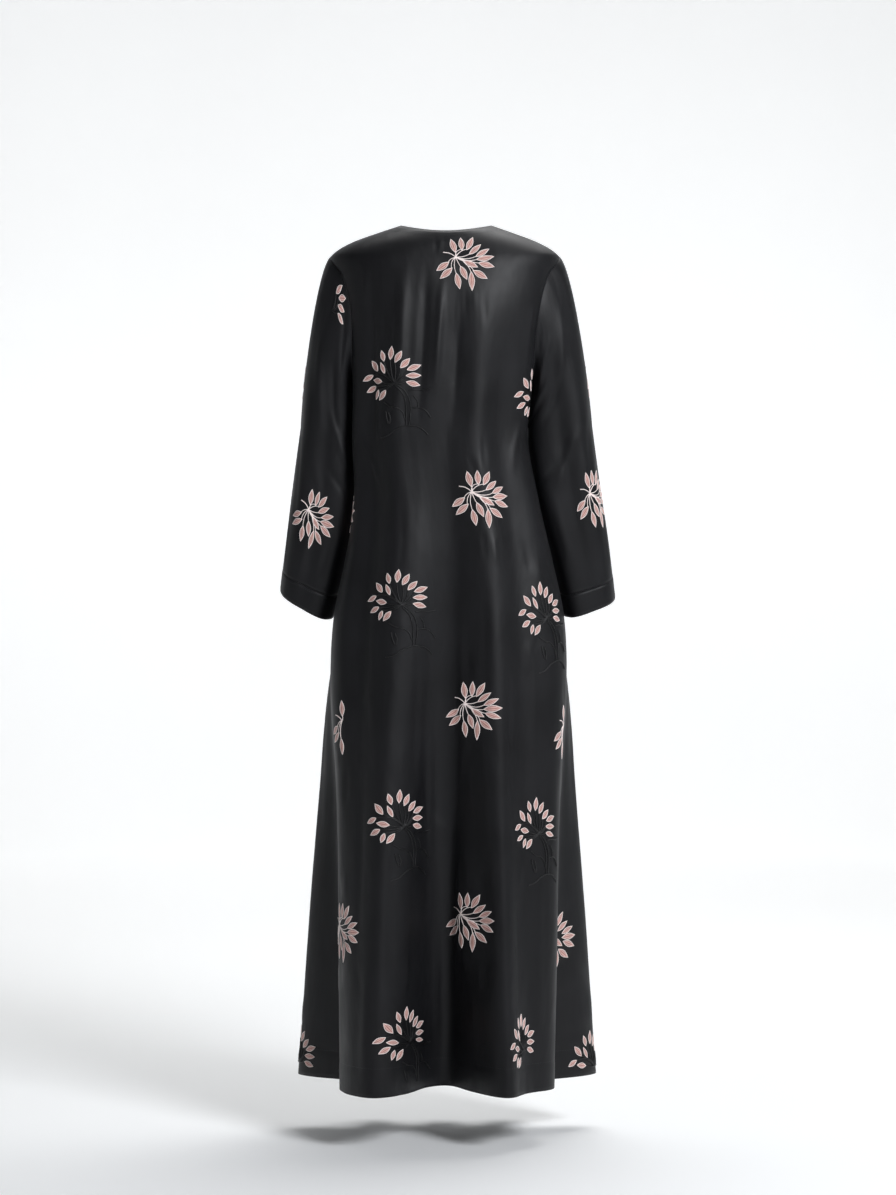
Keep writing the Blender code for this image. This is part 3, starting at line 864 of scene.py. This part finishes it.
def studio_paper():
    """Seamless studio paper: pale and matt, with a faint unevenness, and a painted glow, given as
    emission, where it rises behind the robe."""
    material, tree, shader = new_material("studio_paper", 0.9, 0.1, Emission_Strength=0.57)
    where = add(tree, "TexCoord", {}, {})
    cloud = add(tree, "TexNoise", {"Scale": 0.7, "Detail": 2.0}, {"Vector": (where, "Object")})
    tone = add(tree, "ValToRGB", {"stops": ((0.3, "#f6f7f7"), (0.7, "#fafbfb"))}, {0: cloud})
    # Metres over the floor from the middle of the glowing wall, as a share of the room's width
    over_floor = {"Location": (0.0, -ROOM, 0.0), "Scale": (1.0, 1.0, 0.0)}
    aside = add(tree, "Mapping", over_floor, {"Vector": (where, "Object")})
    away = add(tree, "VectorMath", {"operation": "LENGTH"}, {0: aside})
    share = add(tree, "Math", {"operation": "DIVIDE", 1: 2.0 * ROOM}, {0: (away, "Value")})
    # The glow is painted light: strongest on the wall behind the robe, and none beyond 0.46 of the
    # room's width.
    stops = (
        (0.0, "#e1e1e1"),
        (0.1, "#dadada"),
        (0.2, "#c8c8c8"),
        (0.3, "#a6a6a6"),
        (0.39, "#656565"),
        (0.46, "#000000"),
    )
    painted_glow = add(tree, "ValToRGB", {"stops": stops}, {0: share})
    add(tree, shader, {}, {"Base Color": tone, "Emission Color": painted_glow})
    return material


def link_mesh(name, vertices, faces, materials, layer=None, layer_values=None):
    """A smooth mesh object, with a map on its corners if one is given for each point."""
    mesh = bpy.data.meshes.new(name)
    mesh.from_pydata(np.asarray(vertices).tolist(), [], np.asarray(faces).tolist())
    for material in materials:
        mesh.materials.append(material)
    mesh.shade_smooth()
    if layer:
        corners = np.empty(len(mesh.loops), np.int32)
        mesh.loops.foreach_get("vertex_index", corners)
        spread = np.asarray(layer_values, np.float32)[corners]
        mesh.uv_layers.new(name=layer).data.foreach_set("uv", spread.ravel())
    piece = bpy.data.objects.new(name, mesh)
    bpy.context.scene.collection.objects.link(piece)
    return piece


def grid_faces(rows, columns, closed, flip):
    """Four-cornered faces between neighbouring rows and columns."""
    across = columns if closed else columns - 1
    row, column = np.meshgrid(np.arange(rows - 1), np.arange(across), indexing="ij")
    here, beside = row * columns + column, row * columns + (column + 1) % columns
    faces = np.stack((here, here + columns, beside + columns, beside), axis=-1).reshape(-1, 4)
    return faces[:, ::-1] if flip else faces


def cloth_places(points):
    """Metres across and down the cloth at every point, for its weave."""
    across = np.linalg.norm(np.diff(points, axis=1), axis=-1).cumsum(axis=1)
    down = np.linalg.norm(np.diff(points, axis=0), axis=-1).mean(axis=1).cumsum()
    across = np.concatenate((np.zeros((len(points), 1)), across), axis=1)
    across = across - across[:, points.shape[1] // 2, None]
    down = np.broadcast_to(np.concatenate(((0.0,), down))[:, None], across.shape)
    return np.stack((across, -down), axis=-1).reshape(-1, 2)


def cloth_shell(name, ground, wall, node, finishes):
    """A dressed cloth in place of its solid: a thin shell with the satin's dull side within."""
    points = ground["points"]
    faces = grid_faces(*points.shape[:2], ground["closed"], ground["hand"] < 0)
    piece = link_mesh(name, points.reshape(-1, 3), faces, finishes, "cloth", cloth_places(points))
    shell = piece.modifiers.new("wall", "SOLIDIFY")
    shell.thickness = wall
    shell.offset = -1.0
    shell.material_offset = 1
    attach(piece, "root")
    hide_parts(node)
    return piece


def motif_place(ground, angle, drop, share=1.0, lean=0.0, left=-100.0, right=100.0):
    """What a motif needs to be laid on a cloth: its axis down the cloth, its middle on it, the
    steps of the grid, and the motif's own width, lean and limits."""
    points = ground["points"]
    columns = np.arange(points.shape[1])
    axis = np.array([np.interp(angle, row, columns) for row in ground["around"]])
    nearest = np.clip(np.round(axis).astype(int), 0, points.shape[1] - 1)
    line = points[np.arange(len(points)), nearest]
    lengths = run_lengths(line)
    return {
        "ground": ground,
        "axis": axis,
        "lengths": lengths,
        "middle": np.interp(drop * MM, ORIGIN_DROP - line[:, 2], lengths),
        "steps": np.linalg.norm(np.diff(points, axis=1), axis=-1).mean(axis=1),
        "share": share,
        "lean": lean,
        "span": (left, right),
    }


def lay(place, spots):
    """Rows and columns of a cloth under spots of a motif, given in millimetres right and up."""
    down = place["middle"] - spots[:, 1] * MM
    count = np.arange(len(place["lengths"]))
    rows = np.interp(down, place["lengths"], count)
    across = spots[:, 0] * MM * place["share"] * place["ground"]["hand"]
    across = across / np.interp(rows, count, place["steps"])
    off = (down < place["lengths"][0]) | (down > place["lengths"][-1] - HEM_MARGIN)
    return rows, np.interp(rows, count, place["axis"]) + across, off


def fits(place, spots):
    """Whether all these spots of a motif lie on the cloth, clear of its edges."""
    rows, columns, off = lay(place, spots)
    high, wide = place["ground"]["points"].shape[:2]
    if off.any() or spots[:, 0].min() < place["span"][0] or spots[:, 0].max() > place["span"][1]:
        return False
    if place["ground"]["closed"]:
        return rows.min() > END_ROWS[0] and rows.max() < high - END_ROWS[1]
    return columns.min() > SIDE_COLUMNS[0] and columns.max() < wide - SIDE_COLUMNS[1]


def on_cloth(place, spots):
    """Points of the cloth's face under spots of a motif, and its outward directions there."""
    rows, columns, _ = lay(place, spots)
    ground = place["ground"]
    high, wide = ground["points"].shape[:2]
    row = np.clip(np.floor(rows).astype(int), 0, high - 2)
    column = np.floor(columns).astype(int)
    if not ground["closed"]:
        column = np.clip(column, 0, wide - 2)
    down, across = (rows - row)[:, None], (columns - column)[:, None]
    beside, column = (column + 1) % wide, column % wide
    found = []
    for field in (ground["points"], ground["normals"]):
        above = field[row, column] * (1.0 - across) + field[row, beside] * across
        below = field[row + 1, column] * (1.0 - across) + field[row + 1, beside] * across
        found.append(above * (1.0 - down) + below * down)
    return found[0], unit(found[1])


class Needlework:
    """Points, faces and maps of one kind of stitching, gathered until they become one mesh."""

    def __init__(self):
        self.vertices, self.faces, self.maps, self.count = [], [], [], 0

    def take(self, points, faces, places):
        """Adds some stitching to the work."""
        self.vertices.append(points.reshape(-1, 3))
        self.faces.append(faces + self.count)
        self.maps.append(places.reshape(-1, 2))
        self.count += len(self.vertices[-1])

    def sew(self, name, material, layer):
        """The gathered work as one piece, or nothing if there is none."""
        if not self.count:
            return []
        vertices, faces, maps = (np.concatenate(part) for part in (self.vertices, self.faces, self.maps))
        piece = link_mesh(name, vertices, faces, [material], layer, maps)
        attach(piece, "root")
        return [piece]


def bearing(degrees):
    """A direction clockwise from straight up, as right and up."""
    return np.array((math.sin(math.radians(degrees)), math.cos(math.radians(degrees))))


def turned(spots, degrees):
    """Spots turned clockwise about the middle of their motif."""
    right, up = bearing(degrees + 90.0), bearing(degrees)
    return np.asarray(spots)[..., :1] * right + np.asarray(spots)[..., 1:] * up


def leaf_width(share):
    """Half the width of a pointed leaf, as a share of its widest, from its base to its tip."""
    return np.sin(np.pi * share**0.95) ** 1.12


def satin_leaf(work, place, base, points_to, length, half_width):
    """A leaf filled with satin stitch, domed over the cloth, inside a line of pale thread."""
    ahead, right = bearing(points_to), bearing(points_to + 90.0)
    share = np.linspace(0.0, 1.0, LEAF_ROWS)[:, None]
    aside = np.linspace(-1.0, 1.0, LEAF_COLUMNS)[None, :]
    width = half_width * leaf_width(share) * aside
    along = length * share + 0.0 * aside
    spots = (base + along[..., None] * ahead + width[..., None] * right).reshape(-1, 2)
    if not fits(place, spots):
        return False
    points, normals = on_cloth(place, spots)
    dome = (1.0 - aside**2) ** 0.6 * np.sin(np.pi * share) ** 0.5
    lift = (LEAF_EDGE + LEAF_DOME * dome).reshape(-1, 1) * MM
    faces = grid_faces(LEAF_ROWS, LEAF_COLUMNS, False, place["ground"]["hand"] > 0)
    maps = np.stack(np.broadcast_arrays(aside, share * length / 24.0), axis=-1)
    work["leaf"].take(points + lift * normals, faces, maps)
    rim = np.linspace(0.0, 1.0, RIM_SPOTS)
    middle, out = base + np.outer(length * rim, ahead), np.outer(half_width * leaf_width(rim), right)
    outline = np.concatenate((middle + out, (middle - out)[-2:0:-1]))
    thread_line(work["outline"], place, outline, OUTLINE_RADIUS, closed=True)
    return True


def thread_line(work, place, spots, radius, closed=False):
    """A round thread laid along a line of spots, half sunk in the cloth's nap."""
    points, normals = on_cloth(place, spots)
    along = np.gradient(points, axis=0)
    if closed:
        along = np.roll(points, -1, axis=0) - np.roll(points, 1, axis=0)
    beside = np.cross(unit(along), normals)
    count, sides = len(points), THREAD_SIDES
    turn = np.arange(sides) * 2.0 * np.pi / sides
    radius = np.broadcast_to(np.asarray(radius, float), (count,))[:, None, None] * MM
    rise = radius * (THREAD_RISE + np.cos(turn)[None, :, None])
    swing = radius * np.sin(turn)[None, :, None]
    rings = points[:, None] + rise * normals[:, None] + swing * beside[:, None]
    maps = np.stack(np.broadcast_arrays(turn / (2.0 * np.pi), run_lengths(points)[:, None]), axis=-1)
    faces = grid_faces(count, sides, True, False)
    if closed:
        ring, last = np.arange(sides), (count - 1) * sides
        beside_ring = (ring + 1) % sides
        joint = np.stack((last + ring, ring, beside_ring, last + beside_ring), axis=-1)
        faces = np.concatenate((faces, joint))
    work.take(rings, faces, maps)


def fitting_line(work, place, spots, radii):
    """A thread along a line of spots, from one radius to another, where the whole line fits."""
    if fits(place, spots):
        thread_line(work, place, spots, np.linspace(*radii, len(spots)))


def smooth_line(spots, steps=6):
    """A flowing line through a few spots, with this many steps from each to the next."""
    known = np.arange(len(spots), dtype=float)
    last = len(spots) - 1
    return read_table(np.column_stack((known, spots)), np.linspace(0.0, last, steps * last + 1))


def bowed_stem(start, end, bow):
    """A stem from one spot to another that bows to its right by this many millimetres."""
    share = np.linspace(0.0, 1.0, STEM_SPOTS)[:, None]
    run = end - start
    right = np.array((run[1], -run[0])) / max(np.hypot(*run), 1e-9)
    return start + run * share + right * bow * 4.0 * share * (1.0 - share)


def sew_bloom(work, place, turn, size):
    """A bloom: fourteen leaves on pale stems from one hub, with a short tail."""
    hub = turned(BLOOM_HUB, turn) * size
    for start_bearing, out, points_to, length, half_width, bow in BLOOM_LEAVES:
        base = hub + bearing(start_bearing + turn) * out * size
        if satin_leaf(work, place, base, points_to + turn, length * size, half_width * size):
            stem = bowed_stem(hub, base + bearing(points_to + turn) * STEM_INTO_LEAF, bow)
            fitting_line(work["outline"], place, stem, STEM_RADII)
    tail = hub + turned(smooth_line(BLOOM_TAIL, 4), turn) * size
    fitting_line(work["outline"], place, tail, TAIL_RADII)


def sew_tree(work, place, turn, size):
    """A tree: fourteen leaves apart from their hub, on branches and a trunk of black cord."""
    hub = turned(TREE_HUB, turn) * size
    for x, y, points_to, length, half_width, bow in TREE_LEAVES:
        middle = turned((x, y), turn) * size
        base = middle - bearing(points_to + turn) * length * size / 2.0
        if satin_leaf(work, place, base, points_to + turn, length * size, half_width * size):
            fitting_line(work["branch"], place, bowed_stem(hub, base, bow), BRANCH_RADII)
    cords = [turned(smooth_line(cord), turn) * size for cord in TREE_CORDS]
    # The twigs and the ground line belong to the trunk, and go where it goes.
    if fits(place, cords[0]):
        for line in cords:
            fitting_line(work["branch"], place, line, (CORD_RADIUS, CORD_RADIUS))


def embroider(name, ground, finishes):
    """All the motifs of one cloth, as a piece for the leaves and one for each colour of thread."""
    work = {"leaf": Needlework(), "outline": Needlework(), "branch": Needlework()}
    for kind, sew in ((BLOOMS, sew_bloom), (TREES, sew_tree)):
        for count, row in enumerate(kind.get(name, ())):
            place = motif_place(ground, *row)
            # Hand-guided machine work differs a little from one motif to the next.
            turn = place["lean"] + 1.5 * math.sin(2.1 * count + row[0])
            sew(work, place, turn, 1.0 + 0.012 * math.cos(3.7 * count))
    return (
        work["leaf"].sew("leaves_" + name, finishes["rose"], "leaf")
        + work["outline"].sew("outlines_" + name, finishes["pale"], "thread")
        + work["branch"].sew("branches_" + name, finishes["cord"], "thread")
    )


def stitch_row(work, ground, row, column=slice(None), step=STITCH_STEP):
    """A row of machine stitches along one row or column of a cloth, just over its face."""
    points, normals = ground["points"][row, column], ground["normals"][row, column]
    points = points + STITCH_LIFT * normals
    if ground["closed"]:
        points, normals = (np.concatenate((line, line[:1])) for line in (points, normals))
    lengths = run_lengths(points)
    middles = np.arange(step / 2, lengths[-1] - step / 2, step)

    def at(field, place):
        """The field between the line's points, at these lengths along it."""
        return np.stack([np.interp(place, lengths, field[:, axis]) for axis in range(3)], axis=-1)

    start, end = (at(points, middles + shift) for shift in (-STITCH_LENGTH / 2, STITCH_LENGTH / 2))
    rise = unit(at(normals, middles))
    beside = np.cross(unit(end - start), rise) * STITCH_RADIUS
    middle = (start + end) / 2.0
    crown = middle + rise * STITCH_RADIUS * 1.3
    corners = np.stack((start, middle + beside, crown, middle - beside, end), axis=1)
    faces = np.array(((0, 1, 2), (0, 2, 3), (4, 2, 1), (4, 3, 2)))
    every = (faces[None] + 5 * np.arange(len(middles))[:, None, None]).reshape(-1, 3)
    maps = np.array(((0.0, 0.0), (0.25, 0.001), (0.5, 0.001), (0.75, 0.001), (0.0, 0.002)))
    work.take(corners, every, np.tile(maps, (len(middles), 1)))


def sew_seams(name, ground, finish):
    """Machine stitches of a cloth's hem, neckline, lap or cuff."""
    work = Needlework()
    if name in PANELS:
        stitch_row(work, ground, int(np.argmin(np.abs(row_drops() - (LENGTH - HEM_DEPTH)))))
        stitch_row(work, ground, 2)
    if name == "front_right":
        stitch_row(work, ground, slice(None), -2)
    if name.startswith("sleeve"):
        stitch_row(work, ground, -1)
        stitch_row(work, ground, 1, step=ARMHOLE_STITCH_STEP)
    if name.startswith("cuff"):
        stitch_row(work, ground, 1)
        stitch_row(work, ground, -2)
    return work.sew("stitches_" + name, finish, "thread")


def dress():
    """Every cloth in place of its solid, with its embroidery and stitches."""
    face = black_satin("black_satin_face", "#070709", "#101013", 0.50, 0.03)
    inner = black_satin("black_satin_dull_side", "#070708", "#0e0e10", 0.64, 0.02)
    # Each thread below has two colours: its painted shade and its painted highlight along the twist.
    threads = {
        "rose": rose_floss(),
        "pale": thread_material("pale_rose_thread", "#f2dad4", "#fffaf7", 0.45, 0.2),
        "cord": thread_material("black_couched_cord", "#040405", "#101012", 0.45, 0.0),
    }
    sewing = thread_material("black_sewing_thread", "#151517", "#2c2c30", 0.5, 0.1)
    grounds = {name: panel_ground(name) for name in PANELS}
    for side in SIDE_SIGN:
        grounds["sleeve_" + side] = sleeve_ground(side)
        grounds["cuff_" + side] = cuff_ground(side)
    for name, ground in grounds.items():
        wall = CUFF_WALL if name.startswith("cuff") else WALL
        piece = cloth_shell("satin_" + name, ground, wall, name, [face, inner])
        extras = embroider(name, ground, threads) + sew_seams(name, ground, sewing)


# The studio: its floor a little below the hem, how its wall rises, and the camera, in metres
FLOOR = -1.485
SWEEP = 1.4
WALL_TOP = 7.0
CAMERA = (0.0, -5.5, -0.592)

# place, aim, size, watts, colour
LAMPS = {
    "key": ((2.0, -3.2, 1.3), (0.0, 0.0, -0.6), 1.4, 146.0, "#f9fbff"),
    "fill": ((-3.4, -3.4, 0.2), (0.0, 0.0, -0.6), 1.6, 5.0, "#f4f7ff"),
    "top": ((0.7, 1.5, 2.5), (0.2, 1.1, -1.5), 2.8, 78.0, "#ffffff"),
    "backdrop": ((0.0, 1.4, 2.6), (0.0, 3.0, -0.3), 3.0, 29.0, "#ffffff"),
}


def place_in_scene(name, data, spot, turn):
    """A lamp or the camera, at a spot and with a turn."""
    thing = bpy.data.objects.new(name, data)
    thing.location = spot
    thing.rotation_euler = turn
    bpy.context.scene.collection.objects.link(thing)
    return thing


def studio():
    """A pale round floor that sweeps up into a wall far behind the robe, soft lights, and the camera."""
    profile = [(0.0, 0.0), (ROOM - SWEEP - 0.1, 0.0), (ROOM - SWEEP, 0.0)]
    for t in np.linspace(0.1, 1.5, 15):
        profile.append((ROOM - SWEEP + SWEEP * math.sin(t), SWEEP - SWEEP * math.cos(t)))
    profile += [(ROOM, SWEEP), (ROOM, WALL_TOP)]
    turns = np.linspace(-math.pi, math.pi, 96, endpoint=False)
    # The wall stands on the side that the camera looks towards, and runs down to the floor beside it.
    heights = smooth_step((math.radians(112.0) - np.abs(turns)) / math.radians(45.0))
    vertices = [
        (out * math.sin(turn), out * math.cos(turn), FLOOR + up * high)
        for out, up in profile
        for turn, high in zip(turns, heights)
    ]
    faces = grid_faces(len(profile), len(turns), True, False)
    sweep = link_mesh("studio_sweep", vertices, faces, [studio_paper()])
    scene = bpy.context.scene
    scene.world = bpy.data.worlds.new("soft_room")
    scene.world.use_nodes = True
    room = scene.world.node_tree.nodes["Background"]
    room.inputs["Color"].default_value = colour("#eef0f4")
    room.inputs["Strength"].default_value = 0.12
    for name, (spot, aim, size, watts, tint) in LAMPS.items():
        light = bpy.data.lights.new(name, "AREA")
        light.shape = "DISK"
        light.size = size
        light.energy = watts
        light.color = colour(tint)[:3]
        x, y, z = np.array(spot) - np.array(aim)
        place_in_scene(name, light, spot, (math.atan2(math.hypot(x, y), z), 0.0, math.atan2(x, -y)))
    lens = bpy.data.cameras.new("camera")
    lens.sensor_fit = "VERTICAL"
    lens.sensor_height = 36.0
    lens.lens = 99.73
    scene.camera = place_in_scene("camera", lens, CAMERA, (math.radians(90.0), 0.0, 0.0))
    scene.view_settings.view_transform = "Standard"


studio()
dress()
bpy.context.view_layer.update()
